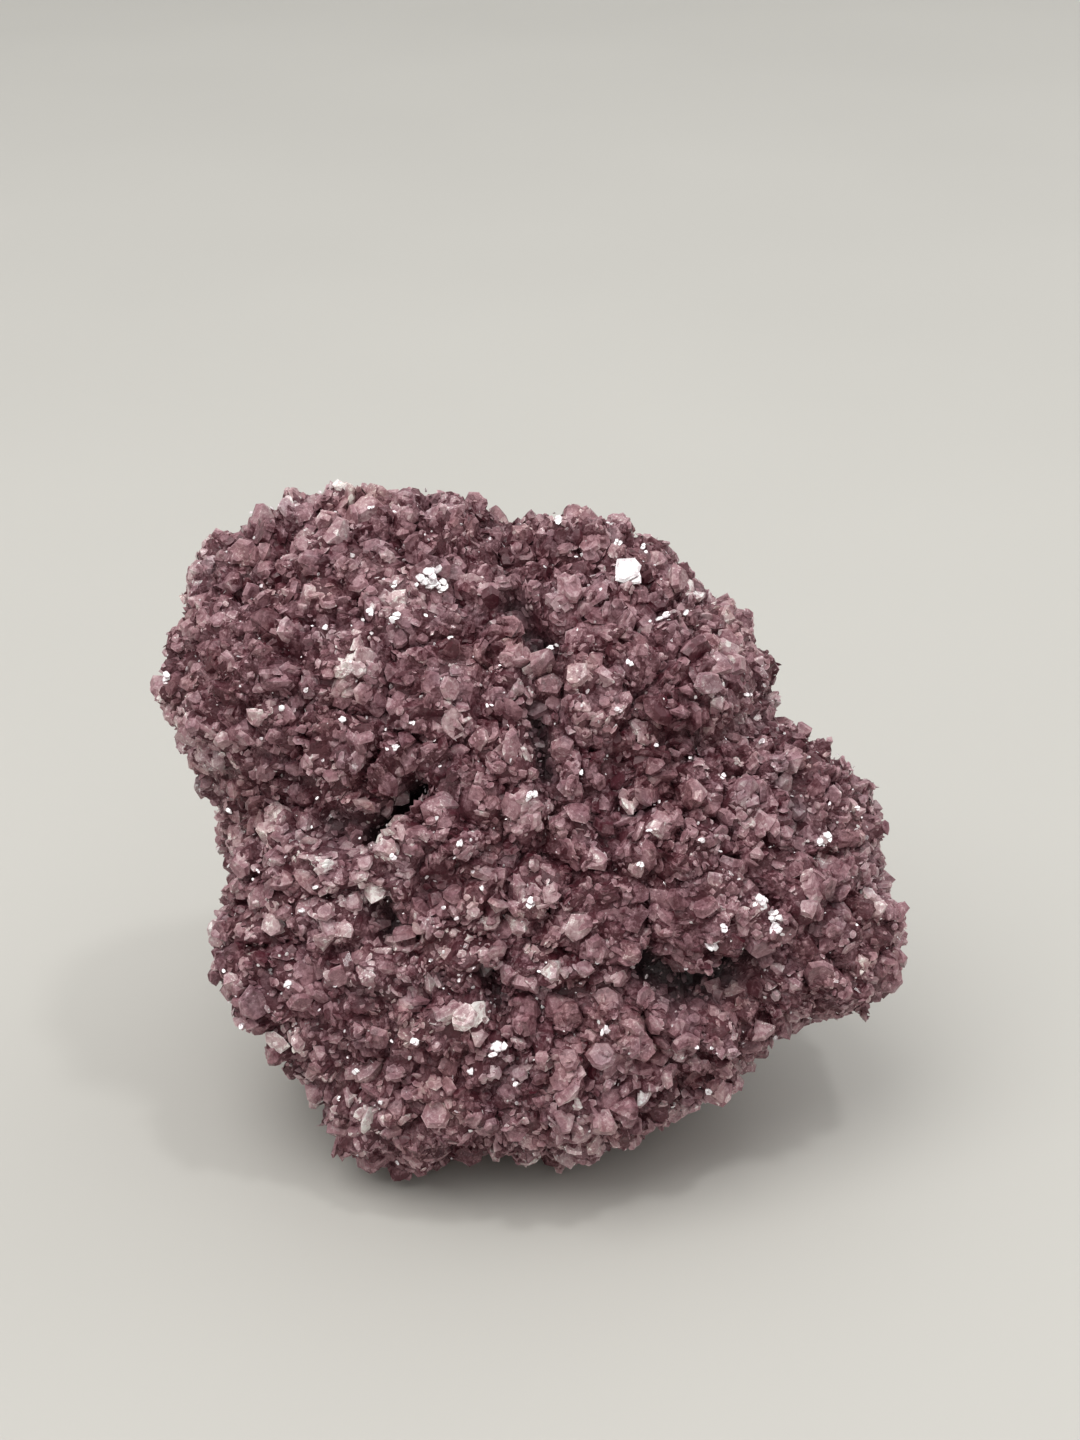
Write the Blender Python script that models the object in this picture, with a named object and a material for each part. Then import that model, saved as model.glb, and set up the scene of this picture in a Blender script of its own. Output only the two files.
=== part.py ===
"""A hand specimen of granular lepidolite, a mauve lithium mica, as one solid stone.

Blender 4.5, metres, +Z up. The stone rests on z = 0, and the origin is under the middle of its box.
It is shaped in the frame of its broad face: x to the right, y up the face, z out of the face.
A bare block is shaped first, and every point of it is then moved out or in along its own line.
"""

import math

import bpy
import numpy as np

MM = 0.001

# The broad face looks forward (-Y) and this much upward.
FACE_TILT_DEG = 27.0
# The middle of the face frame, in the object's frame, in millimetres.
BLOCK_CENTRE = (-0.07, -1.52, 35.0)
FRONT_DEPTH = 20.0
BACK_DEPTH = 35.0
# 2 gives an ellipse in side section, more gives a squarer shoulder.
FRONT_SHOULDER = 2.7
BACK_SHOULDER = 3.4

# The outline of the broad face: angle from the x axis in degrees, radius in millimetres.
OUTLINE = (
    (0, 40.3), (10, 37.2), (18, 33.2), (24, 30.0), (30, 31.7), (38, 34.3), (51, 33.8), (62, 37.5),
    (76, 38.7), (94, 36.4), (104, 38.8), (117, 46.3), (132, 49.0), (140, 48.6), (148, 51.8),
    (157, 47.0), (167, 39.2), (180, 36.4), (190, 35.8), (200, 37.2), (211, 39.0), (222, 38.7),
    (234, 36.0), (243, 38.6), (252, 39.2), (266, 35.2), (280, 38.2), (298, 37.0), (312, 39.3),
    (325, 42.2), (336, 49.3), (346, 46.8), (354, 42.0),
)
# How far in front of the frame's middle the widest section lies, round the outline.
RIM_OFFSET = ((0, -3.0), (45, 0.0), (110, -3.0), (180, 0.0), (250, 2.0), (300, 0.0), (335, -12.0))

# The fractures that shaped the sides, back and underside: outward direction, distance from the middle.
FRACTURES = (
    ((0.05, -0.1, -1.0), 34.0),
    ((0.1, 0.7, -0.71), 29.0),
    ((-0.75, 0.1, -0.65), 35.0),
    ((0.8, 0.2, -0.55), 34.0),
    ((0.6, -0.5, -0.6), 35.0),
    ((-0.93, 0.05, 0.36), 41.5),
    ((0.0, -0.891, -0.454), 34.8),
    ((0.1, 0.8, 0.6), 36.0),
)
FRACTURE_SHARPNESS = 16.0
# The lines along which the surface is moved start here, turned this share toward the surface's own facing.
LINES_FROM = (0.0, -3.0, -8.0)
FACING_SHARE = 0.5

# Broad swellings of the broad face: x, y, radius, height.
SWELLINGS = (
    (-21.0, 25.0, 14.0, 1.5),
    (11.0, 26.0, 12.0, 1.2),
    (21.0, 17.0, 8.0, 1.5),
    (-9.0, 3.0, 14.0, 1.5),
    (32.0, -3.0, 11.0, 1.5),
    (-30.0, -14.0, 8.5, 1.8),
    (-15.0, -29.0, 9.0, 1.5),
    (4.0, -27.0, 10.0, 2.0),
    (19.0, -23.0, 8.0, 1.5),
)
# The swellings and clefts fade out over this much either side of the widest section.
FRONT_FADE = 4.0
# Grooves and clefts of the broad face: a path of (x, y) points, half width, depth.
CLEFTS = (
    (((-4.0, 37.0), (-1.5, 28.0), (2.5, 20.0), (0.5, 14.0), (2.0, 6.0)), 2.6, 1.5),
    (((-2.0, 26.0), (2.0, 21.5)), 1.8, 5.0),
    (((0.8, 14.5), (2.0, 7.5)), 1.5, 5.0),
    (((-13.0, 5.8), (-15.5, 3.5), (-19.0, 0.0)), 1.5, 8.0),
    (((-19.0, 0.5), (-24.0, 1.5)), 2.6, 4.0),
    (((28.0, 13.0), (20.0, 11.5), (13.0, 12.0)), 1.8, 1.6),
    (((-17.0, -7.5), (-16.5, -11.0)), 2.0, 4.5),
    (((-22.0, -17.5), (-10.0, -16.5), (3.0, -18.0), (14.0, -16.0)), 1.6, 1.8),
    (((-5.0, -15.5), (-3.5, -19.5)), 1.6, 4.5),
    (((14.0, -15.0), (17.5, -17.5), (23.0, -17.0), (25.5, -14.5)), 2.5, 6.0),
    (((30.0, 6.5), (30.5, 0.5)), 1.8, 3.5),
)

# Rounded knobs and hollows all over the stone, and narrow pits between its grains.
KNOB_COUNT = 420
KNOB_RADIUS = (3.5, 8.0)
KNOB_HEIGHT = 1.5
PIT_COUNT = 70
PIT_RADIUS = (1.4, 2.4)
PIT_DEPTH = (1.5, 3.2)

# The crystal grains that cover the stone, each a short six-sided book of mica.
GRAIN_CANDIDATES = 6000
GRAIN_SPACING = 3.3
GRAIN_RADIUS = (1.8, 2.9)
GRAIN_HALF_HEIGHT = (0.9, 2.0)
GRAIN_SIDES = 6
GRAIN_SINK = 0.6
NEAR_GRAINS = 9
SEED = 11
# A grain's face that a line runs along within this much counts as crossed far off.
LEAST_LEAN = 1e-6
# The surface is worked through in this many shares, to hold less in memory.
SHARES = 64

# The worn spot that the stone stands on: its direction from the middle, radius, how far it stands out.
FOOT_DIRECTION = (-0.1, -0.89, -0.45)
FOOT_RADIUS = 12.0
FOOT_RISE = 2.0

SPHERE_SUBDIVISIONS = 7
SHARE_OF_FACES_KEPT = 0.118
BASE_CUT_SIZE = 0.3


def length(vectors):
    return np.linalg.norm(vectors, axis=-1)


def closed_curve(points, angle):
    """Smooth closed curve through (degrees, value) points, a Catmull-Rom cubic, read at the given angles."""
    at, value = np.array(points, float).T
    at = np.concatenate([at[-2:] - 360.0, at, at[:2] + 360.0])
    value = np.concatenate([value[-2:], value, value[:2]])
    slope = np.zeros_like(value)
    slope[1:-1] = (value[2:] - value[:-2]) / (at[2:] - at[:-2])
    angle = np.mod(angle, 360.0)
    i = np.clip(np.searchsorted(at, angle, side="right") - 1, 1, len(at) - 3)
    span = at[i + 1] - at[i]
    t = (angle - at[i]) / span
    return (
        (2 * t**3 - 3 * t**2 + 1) * value[i]
        + (t**3 - 2 * t**2 + t) * span * slope[i]
        + (3 * t**2 - 2 * t**3) * value[i + 1]
        + (t**3 - t**2) * span * slope[i + 1]
    )


def block(direction):
    """The bare block: the outline at each bearing, bulged forward and back, and cut down to the fractures."""
    bearing = np.degrees(np.arctan2(direction[:, 1], direction[:, 0]))
    across = np.hypot(direction[:, 0], direction[:, 1])
    along = direction[:, 2]
    shoulder = np.where(along > 0, FRONT_SHOULDER, BACK_SHOULDER)
    depth = np.where(along > 0, FRONT_DEPTH, BACK_DEPTH)
    reach = (across**shoulder + np.abs(along) ** shoulder) ** (-1.0 / shoulder)
    spread = (closed_curve(OUTLINE, bearing) * reach)[:, None] * direction[:, :2]
    lift = along * depth * reach + closed_curve(RIM_OFFSET, bearing) * across**4
    points = np.column_stack([spread, lift])
    ray = points / length(points)[:, None]
    crowd = length(points) ** -FRACTURE_SHARPNESS
    for normal, distance in FRACTURES:
        leans = ray @ (np.array(normal) / np.linalg.norm(normal))
        crowd += (np.maximum(leans, 0.0) / distance) ** FRACTURE_SHARPNESS
    return ray * (crowd ** (-1.0 / FRACTURE_SHARPNESS))[:, None]


def distance_to_path(points, path):
    """Distance in x and y from each point to a path of straight runs."""
    nearest = np.full(len(points), np.inf)
    for start, end in zip(np.array(path[:-1]), np.array(path[1:])):
        run = end - start
        share = np.clip(((points - start) @ run) / (run @ run), 0.0, 1.0)
        nearest = np.minimum(nearest, length(points - start - share[:, None] * run))
    return nearest


def on_front(points):
    """1 on the broad face, falling to 0 a little behind its rim."""
    return np.clip((points[:, 2] + FRONT_FADE) / (2 * FRONT_FADE), 0.0, 1.0)


def swellings(points):
    """Height of the broad swellings of the front."""
    height = np.zeros(len(points))
    for x, y, radius, rise in SWELLINGS:
        away = np.hypot(points[:, 0] - x, points[:, 1] - y) / radius
        height += rise * np.exp(-(away**2))
    return height * on_front(points)


def cleft_depth(points):
    """Depth of the grooves and clefts of the front."""
    depth = np.zeros(len(points))
    for path, half_width, deepest in CLEFTS:
        away = distance_to_path(points[:, :2], path) / half_width
        depth = np.maximum(depth, deepest * np.exp(-(away**4)))
    return depth * on_front(points)


def even_directions(rng, count):
    """Random directions, spread evenly over a sphere, one row each."""
    spread = rng.normal(size=(count, 3))
    return spread / length(spread)[:, None]


def knobs(points, rng):
    """Height of the rounded knobs and hollows, and of the foot."""
    height = np.zeros(len(points))
    centres = block(even_directions(rng, KNOB_COUNT))
    radii = rng.uniform(*KNOB_RADIUS, KNOB_COUNT)
    rises = rng.uniform(-KNOB_HEIGHT, KNOB_HEIGHT, KNOB_COUNT)
    for centre, radius, rise in zip(centres, radii, rises):
        height += rise * np.exp(-((length(points - centre) / radius) ** 2))
    foot = block(np.array([FOOT_DIRECTION]))
    return height + FOOT_RISE * np.exp(-((length(points - foot) / FOOT_RADIUS) ** 4))


def pit_depth(points, rng):
    """Depth of the narrow pits between the grains."""
    depth = np.zeros(len(points))
    centres = block(even_directions(rng, PIT_COUNT))
    radii = rng.uniform(*PIT_RADIUS, PIT_COUNT)
    depths = rng.uniform(*PIT_DEPTH, PIT_COUNT)
    for centre, radius, deepest in zip(centres, radii, depths):
        depth = np.maximum(depth, deepest * np.exp(-((length(points - centre) / radius) ** 4)))
    return depth


def spaced(points):
    """The points, less each one that is nearer than the grain spacing to one before it."""
    kept = points[:1]
    for point in points[1:]:
        if length(kept - point).min() > GRAIN_SPACING:
            kept = np.vstack([kept, point])
    return kept


def grain_faces(rng, count):
    """Outward directions of each grain's six sides and two ends, and their distances from its middle."""
    axis = even_directions(rng, count)
    side = np.cross(axis, even_directions(rng, count))
    side /= length(side)[:, None]
    other = np.cross(axis, side)
    turn = np.arange(GRAIN_SIDES) * 2 * math.pi / GRAIN_SIDES
    sides = np.cos(turn)[None, :, None] * side[:, None] + np.sin(turn)[None, :, None] * other[:, None]
    normals = np.concatenate([sides, axis[:, None], -axis[:, None]], axis=1)
    widths = np.repeat(rng.uniform(*GRAIN_RADIUS, (count, 1)), GRAIN_SIDES, axis=1)
    heights = np.repeat(rng.uniform(*GRAIN_HALF_HEIGHT, (count, 1)), 2, axis=1)
    return normals, np.concatenate([widths, heights], axis=1)


def grain_rise(points, line, rng):
    """How far above each point its line last leaves a grain, or 0 where it meets none."""
    candidates = rng.choice(len(points), GRAIN_CANDIDATES, replace=False)
    centres = spaced((points - line * GRAIN_SINK)[candidates])
    normals, distances = grain_faces(rng, len(centres))
    rise = np.zeros(len(points))
    for share in np.array_split(np.arange(len(points)), SHARES):
        offset = points[share, None] - centres
        near = np.argpartition(length(offset), NEAR_GRAINS, axis=1)[:, :NEAR_GRAINS]
        offset = np.take_along_axis(offset, near[:, :, None], axis=1)
        leans = (normals[near] * line[share, None, None]).sum(axis=3)
        leans = np.where(np.abs(leans) < LEAST_LEAN, LEAST_LEAN, leans)
        meets = (distances[near] - (normals[near] * offset[:, :, None]).sum(axis=3)) / leans
        leaves = np.where(leans > 0, meets, np.inf).min(axis=2)
        enters = np.where(leans < 0, meets, -np.inf).max(axis=2)
        rise[share] = np.maximum(np.where(leaves > enters, leaves, 0.0).max(axis=1), 0.0)
    return rise


def stone_points(bare, facing):
    """The stone's surface points, from the points and facings of the bare block, in millimetres."""
    rng = np.random.default_rng(SEED)
    line = bare - LINES_FROM
    line = (1.0 - FACING_SHARE) * line / length(line)[:, None] + FACING_SHARE * facing
    line /= length(line)[:, None]
    rough = bare + line * (swellings(bare) + knobs(bare, rng))[:, None]
    height = grain_rise(rough, line, rng) - np.maximum(cleft_depth(bare), pit_depth(bare, rng))
    return rough + line * height[:, None]


def stand_up(points):
    """Turns points of the face frame, in millimetres, into the object's frame, in metres."""
    tilt = math.radians(FACE_TILT_DEG)
    x, y, z = points.T
    back = y * math.sin(tilt) - z * math.cos(tilt)
    height = y * math.cos(tilt) + z * math.sin(tilt)
    return (np.column_stack([x, back, height]) + BLOCK_CENTRE) * MM


def mica_material():
    """Mauve mica with a soft pearly gloss."""
    material = bpy.data.materials.new("lepidolite_mauve")
    material.use_nodes = True
    shader = material.node_tree.nodes["Principled BSDF"]
    shader.inputs["Base Color"].default_value = (0.30, 0.16, 0.20, 1.0)
    shader.inputs["Roughness"].default_value = 0.45
    return material


def move_to(obj, collection):
    for other in obj.users_collection:
        other.objects.unlink(obj)
    collection.objects.link(obj)


def make_base_cutter(collection):
    """A block under the table top, which takes off what would reach below it."""
    bpy.ops.mesh.primitive_cube_add(size=BASE_CUT_SIZE, location=(0.0, 0.0, -BASE_CUT_SIZE / 2))
    cutter = bpy.context.object
    cutter.name = "below_the_table"
    cutter.hide_render = True
    cutter.display_type = "WIRE"
    move_to(cutter, collection)
    return cutter


def make_stone(collection, base_cutter):
    """A ball of small faces drawn out to the stone's surface, thinned to flat facets and cut off level."""
    bpy.ops.mesh.primitive_ico_sphere_add(subdivisions=SPHERE_SUBDIVISIONS, radius=1.0)
    stone = bpy.context.object
    stone.name = "lepidolite"
    move_to(stone, collection)

    vertices = stone.data.vertices
    direction = np.empty(len(vertices) * 3)
    vertices.foreach_get("co", direction)
    bare = block(direction.reshape(-1, 3))
    vertices.foreach_set("co", bare.ravel())
    stone.data.update()
    facing = np.empty(len(vertices) * 3)
    vertices.foreach_get("normal", facing)
    vertices.foreach_set("co", stand_up(stone_points(bare, facing.reshape(-1, 3))).ravel())
    stone.data.update()

    thin = stone.modifiers.new("flat_facets", "DECIMATE")
    thin.ratio = SHARE_OF_FACES_KEPT
    level = stone.modifiers.new("level_base", "BOOLEAN")
    level.operation = "DIFFERENCE"
    level.solver = "EXACT"
    level.object = base_cutter
    stone.data.materials.append(mica_material())
    return stone


def collection_named(name):
    collection = bpy.data.collections.new(name)
    bpy.context.scene.collection.children.link(collection)
    return collection


def main():
    for old in list(bpy.data.objects):
        bpy.data.objects.remove(old)
    cutter = make_base_cutter(collection_named("cutters"))
    make_stone(collection_named("lepidolite_specimen"), cutter)


main()
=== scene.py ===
"""The looks of the lepidolite specimen: a body of fused mica, with plates, grains and bright flakes set in.

The stone is worked out in the frame of its broad face, in millimetres: x to the right, y up the face and z
out of it. It is then stood up in the object's frame, in metres, where it rests on z = 0.
"""

import math

import bpy
import numpy as np
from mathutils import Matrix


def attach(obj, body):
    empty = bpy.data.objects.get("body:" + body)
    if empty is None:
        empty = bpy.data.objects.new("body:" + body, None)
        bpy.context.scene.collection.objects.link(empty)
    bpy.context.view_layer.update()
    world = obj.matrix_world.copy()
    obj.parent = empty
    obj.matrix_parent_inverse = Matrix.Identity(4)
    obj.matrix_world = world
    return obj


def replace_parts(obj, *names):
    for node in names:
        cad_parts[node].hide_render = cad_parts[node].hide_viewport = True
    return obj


bl_info = {
    "name": "Lepidolite specimen",
    "version": (1, 0, 0),
    "blender": (4, 5, 0),
    "location": "View3D > Sidebar > Lepidolite",
    "description": "Builds a block of granular mauve mica with its grains, bright flakes and stage",
    "category": "Object",
}

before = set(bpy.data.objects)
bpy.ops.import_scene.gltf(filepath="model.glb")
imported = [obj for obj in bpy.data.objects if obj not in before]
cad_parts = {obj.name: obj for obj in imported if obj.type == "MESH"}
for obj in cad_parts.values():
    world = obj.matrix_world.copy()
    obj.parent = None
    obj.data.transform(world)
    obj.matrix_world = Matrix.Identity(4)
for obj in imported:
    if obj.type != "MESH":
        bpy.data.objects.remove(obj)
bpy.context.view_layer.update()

MM = 0.001
TAU = 2.0 * math.pi

# The broad face looks forward (-Y) and this much upward. The middle of its frame is here, in millimetres.
FACE_TILT_DEG = 27.0
BLOCK_CENTRE = (-0.07, -1.52, 35.0)
FRONT_DEPTH = 20.0
BACK_DEPTH = 35.0
# 2 gives an ellipse in side section, more gives a squarer shoulder.
FRONT_SHOULDER = 2.7
BACK_SHOULDER = 3.4

# The outline of the broad face: angle from the x axis in degrees, radius in millimetres.
OUTLINE = (
    (0, 40.3), (10, 37.2), (18, 33.2), (24, 30), (30, 31.7), (38, 34.3), (51, 33.8), (62, 37.5),
    (76, 38.7), (94, 36.4), (104, 38.8), (117, 46.3), (132, 49), (140, 48.6), (148, 51.8),
    (157, 47), (167, 39.2), (180, 36.4), (190, 35.8), (200, 37.2), (211, 39), (222, 38.7),
    (234, 36), (243, 38.6), (252, 39.2), (266, 35.2), (280, 38.2), (298, 37), (312, 39.3),
    (325, 42.2), (336, 49.3), (346, 46.8), (354, 42),
)
# How far in front of the frame's middle the widest section lies, round the outline.
RIM_OFFSET = ((0, -3), (45, 0), (110, -3), (180, 0), (250, 2), (300, 0), (335, -12))

# The fractures that shaped the sides, back and underside: outward direction, distance from the middle.
FRACTURES = (
    ((0.05, -0.1, -1), 34), ((0.1, 0.7, -0.71), 29), ((-0.75, 0.1, -0.65), 35),
    ((0.8, 0.2, -0.55), 34), ((0.6, -0.5, -0.6), 35), ((-0.93, 0.05, 0.36), 41.5),
    ((0, -0.891, -0.454), 34.8), ((0.1, 0.8, 0.6), 36),
)
FRACTURE_SHARPNESS = 16.0
# The lines along which the surface is moved start here, turned this share toward the surface's own facing.
LINES_FROM = (0.0, -3.0, -8.0)
FACING_SHARE = 0.5
FACING_STEP = 0.01
NEAR_POLE = 0.9

# Broad swellings of the broad face: x, y, radius, height.
SWELLINGS = (
    (-21, 25, 14, 1.5), (11, 26, 12, 1.2), (21, 17, 8, 1.5), (-9, 3, 14, 1.5),
    (32, -3, 11, 1.5), (-30, -14, 8.5, 1.8), (-15, -29, 9, 1.5), (4, -27, 10, 2),
    (19, -23, 8, 1.5),
)
# Paler and darker parts of the broad face: x, y, radius, change of tone.
PATCHES = (
    (-42, 14, 9, 0.18), (-26, 4, 8, 0.08), (-22, -10, 9, 0.1), (-30, -30, 9, 0.08),
    (-2, -10, 8, 0.06), (-2, -30, 9, 0.06), (34, -12, 8, -0.06), (-4, 30, 9, -0.14),
    (-31, 22, 8, -0.14), (12, 22, 9, -0.1), (14, -12, 9, -0.1), (-8, 20, 8, -0.05),
)
# The swellings and clefts fade out over this much either side of the widest section.
FRONT_FADE = 4.0
# Grooves and clefts of the broad face: a path of (x, y) points, half width, depth.
CLEFTS = (
    (((-4, 37), (-1.5, 28), (2.5, 20), (0.5, 14), (2, 6)), 2.6, 1.5),
    (((-2, 26), (2, 21.5)), 1.8, 5),
    (((0.8, 14.5), (2, 7.5)), 1.5, 5),
    (((-13, 5.8), (-15.5, 3.5), (-19, 0)), 1.5, 8),
    (((-19, 0.5), (-24, 1.5)), 2.6, 4),
    (((28, 13), (20, 11.5), (13, 12)), 1.8, 1.6),
    (((-17, -7.5), (-16.5, -11)), 2, 4.5),
    (((-22, -17.5), (-10, -16.5), (3, -18), (14, -16)), 1.6, 1.8),
    (((-5, -15.5), (-3.5, -19.5)), 1.6, 4.5),
    (((14, -15), (17.5, -17.5), (23, -17), (25.5, -14.5)), 2.5, 6),
    (((30, 6.5), (30.5, 0.5)), 1.8, 3.5),
)

# Rounded knobs and hollows all over the stone.
KNOB_SEED = 11
KNOB_COUNT = 420
KNOB_RADIUS = (3.5, 8.0)
KNOB_HEIGHT = 1.5
# The worn spot that the stone stands on: its direction from the middle, radius, how far it stands out.
FOOT_DIRECTION = (-0.1, -0.89, -0.45)
FOOT_RADIUS = 12.0
FOOT_RISE = 2.0

# The body: a cube's six sides blown up to a ball, each this many faces across and along.
BODY_STEPS = 128
# The whole body stands out this much further, to make up for its creases.
BODY_RISE = 0.2
# The margin of each side on the body's map, and the digits to which joined edges agree.
MAP_MARGIN = 0.01
JOINED_DIGITS = 6
# Coarse crystals of the body, each a short six-sided book.
BOOK_SEED = 21
BOOK_CANDIDATES = 9000
BOOK_SPACING = 2.4
BOOK_RADIUS = (1.3, 2.3)
BOOK_HALF_HEIGHT = (0.6, 1.5)
BOOK_SINK = 0.6
BOOK_SIDES = 6
NEAR_BOOKS = 9
LEAST_LEAN = 1e-6
# The surface is worked through in this many shares, to hold less in memory.
SHARES = 64
# Creases between clumps of crystals.
CREASE_SEED = 31
CLUMP_COUNT = 620
CREASE_HALF_WIDTH = 0.9
CREASE_DEPTH = 1.9
# A dip of this many millimetres below the skin is as dark and grey as the deepest hollow, where grey mica
# and painted shade are strongest.
DEEPEST = 7.0

# Mica plates and the finer grains between them: the pieces of each, and how many there are to a piece.
COAT_SEED = 41
COAT_PIECES = 2
PLATES_TO_A_PIECE = 7300
GRAINS_TO_A_PIECE = 12500
# The spread (natural log) and limits of the radius, and as shares of it half the thickness and how deep the
# middle is set.
PLATE_SIZE = (0.42, (0.35, 2.0), (0.22, 0.6), (-0.1, 0.7))
GRAIN_SIZE = (0.3, (0.22, 0.9), (0.25, 0.7), (-0.4, 0.8))
# Neighbours in a cluster lean the same way: an axis adds up the cluster's, the surface's facing and a random
# direction, times these shares.
CLUSTER_COUNT = 3000
CLUSTER_SHARE = 0.6
FACING_PULL = 0.6
RANDOM_SHARE = 0.7
# The corners of each one's ring, how uneven the ring, a plate's cap and a grain's ends are, and how deep a
# plate's root lies.
SIDES = 7
CORNER_JITTER = 0.24
TURN_JITTER = 0.2
RING_JITTER = 0.35
RING_NARROWNESS = (0.8, 1.0)
CAP_INSET = (0.66, 0.9)
CAP_JITTER = 0.2
ROOT_DEPTH = 2.2
DOME = (0.8, 1.1)
SLIP = 0.2
SHARP_EDGE_DEG = 36.0
# Where the cap, the ring and the root lie on a shape's square of the map, from its middle.
CAP_PLACE = 0.3
RING_PLACE = 0.42
ROOT_PLACE = 0.49
# Mica in a hollow is this much smaller on average. It is left out where the hollowness and a random number
# times the next value come to more than the last value, so that black gaps stay open.
HOLLOW_SHRINK = 0.4
GAP_RANDOM = 0.2
GAP_HOLLOW = 0.93
# Tone goes from 0, plum, to 1, the palest: its mean, its spread from cluster to cluster and within one, and
# how much darker a crease is, as painted shade in the creases. A gloss is a random number to this power.
MEAN_TONE = 0.425
CLUSTER_TONE = 0.12
TONE_SPREAD = 0.08
CREASE_SHADE_TONE = 0.36
GLOSS_POWER = 1.5
# The worn base is this far above the floor's level, and the underside is worn flatter below the second one.
BASE_LEVEL = 0.02
WORN_BELOW = 0.6

# Bright cleavage flakes: where the photo shows each glint or cluster (column and row in its pixels), the
# radius of a flake in millimetres, and how many flakes there are.
FLAKE_SEED = 51
GLINTS = (
    (437, 574, 0.55, 12), (430, 582, 0.45, 6), (396, 577, 0.35, 3), (621, 568, 1.3, 1), (642, 576, 0.85, 1),
    (606, 585, 0.4, 1), (621, 537, 0.35, 3), (646, 540, 0.3, 2), (552, 523, 0.4, 3), (658, 611, 0.55, 3),
    (694, 615, 0.35, 2), (623, 664, 0.4, 2), (555, 648, 0.4, 2), (764, 734, 0.35, 3), (754, 695, 0.25, 2),
    (371, 605, 0.4, 2), (388, 620, 0.5, 3), (333, 629, 0.35, 2), (445, 635, 0.3, 2), (366, 502, 0.3, 2),
    (281, 702, 0.4, 2), (304, 696, 0.3, 2), (344, 718, 0.35, 2), (414, 729, 0.3, 2), (388, 743, 0.35, 3),
    (384, 755, 0.25, 2), (166, 673, 0.4, 4), (229, 811, 0.35, 2), (251, 873, 0.3, 2), (463, 836, 0.45, 2),
    (390, 860, 0.35, 2), (480, 885, 0.35, 2), (451, 922, 0.3, 2), (523, 904, 0.4, 5), (537, 795, 0.5, 5),
    (644, 823, 0.3, 2), (708, 835, 0.35, 2), (827, 838, 0.45, 6), (862, 810, 0.3, 2), (773, 912, 0.5, 7),
    (771, 900, 0.5, 6), (776, 922, 0.5, 6), (710, 953, 0.6, 5), (723, 930, 0.4, 3), (639, 871, 0.35, 3),
    (279, 984, 0.4, 3), (304, 903, 0.3, 2), (310, 882, 0.3, 2), (603, 1030, 0.5, 3), (496, 1044, 0.6, 5),
    (521, 1087, 0.35, 2), (466, 1071, 0.35, 2), (409, 1044, 0.35, 3), (357, 1070, 0.35, 2),
    (374, 1101, 0.3, 2), (397, 1171, 0.3, 2), (235, 1023, 0.35, 2), (702, 1093, 0.35, 2),
    (698, 1051, 0.3, 2), (655, 747, 0.3, 2), (725, 771, 0.3, 2), (618, 706, 0.3, 2), (585, 768, 0.3, 2),
    (489, 700, 0.3, 2),
)
# The flakes' sizes about that radius, their thickness, narrowness and lean, and how far a cluster spreads
# for its size, with the shares of that across, up and toward the camera.
FLAKE_SIZES = (0.7, 1.25)
FLAKE_THICKNESS = (0.06, 0.14)
FLAKE_NARROWNESS = (0.5, 1.0)
FLAKE_LEAN = 0.12
FLAKE_SPREAD = 0.33
FLAKE_FLATNESS = (1.0, 1.0, 0.3)
# A glint lies on whatever stands out most within this many pixels of it, and this share of its flake's
# radius above that.
GLINT_REACH = 8.0
FLAKE_LIFT = 0.45
# Small flakes strewn all over the stone: how many, their radius, how far they stand out, and how much they
# turn to the surface.
STREWN_FLAKES = 2000
STREWN_RADIUS = (0.08, 0.3)
STREWN_LIFT = 0.7
STREWN_FACING = 0.9
# This share of them on the broad face turns to the light, with this much lean.
SPARK_SHARE = 0.2
SPARK_LEAN = 0.35

# Patterns: a noise's lumps to the metre, detail, roughness and any distortion, then the part of its range
# that counts and what that becomes.
TONE_PATCHES = ((90.0, 3.0, 0.65), (0.3, 0.7, -0.14, 0.14))
MOTTLE = ((1200.0, 4.0, 0.75, 0.5), (0.3, 0.7, -0.24, 0.24))
FROSTED_PARTS = ((260.0, 2.0, 0.6), (0.45, 0.65, 0.1, 1.0))
FROST = ((3200.0, 2.0, 0.6), (0.55, 0.67, 0.0, 0.4))
WARM_PARTS = ((160.0, 2.0, 0.6), (0.5, 0.75, 0.0, 0.45))
COOL_PARTS = ((210.0, 2.0, 0.6, 0.3), (0.5, 0.75, 0.0, 0.5))
# Where the hollows go grey and dark: grey mica, with painted shade in its darkness.
HOLLOW_GREY_AND_SHADE_PARTS = ((420.0, 2.0, 0.6), (0.35, 0.65, 0.1, 1.0))
# The body's low tone, darker than the grains: painted shade between them.
BODY_SHADED_TONE = ((450.0, 3.0, 0.6), (0.25, 0.75, -0.15, 0.2))
BODY_ROUGHNESS = ((900.0, 2.0, 0.5), (0.3, 0.7, 0.4, 0.75))
FLAKE_SHADE = ((1500.0, 2.0, 0.5), (0.3, 0.7, 0.0, 1.0))
FLAKE_ROUGHNESS = ((1600.0, 2.0, 0.5), (0.3, 0.7, 0.14, 0.4))
TABLE_TINT = ((6.0, 2.0, 0.5), (0.3, 0.7, 0.96, 1.0))
# Fused cells: how many to the metre, how wavy, and how far each one's surface is tilted.
MICA_CELLS = (1500.0, 0.7)
MICA_TILT = 0.2
BODY_CELLS = (1100.0, 0.6)
BODY_TILT = 0.35
FLAKE_CELLS = (2600.0, 0.8)
FLAKE_TILT = 0.15
# Bumps: their noise, height in metres and strength.
MICA_BUMP = ((2600.0, 2.0, 0.5, 0.5), 0.0002, 0.5)
BODY_BUMP = ((2200.0, 3.0, 0.6), 0.0004, 0.7)
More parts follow.
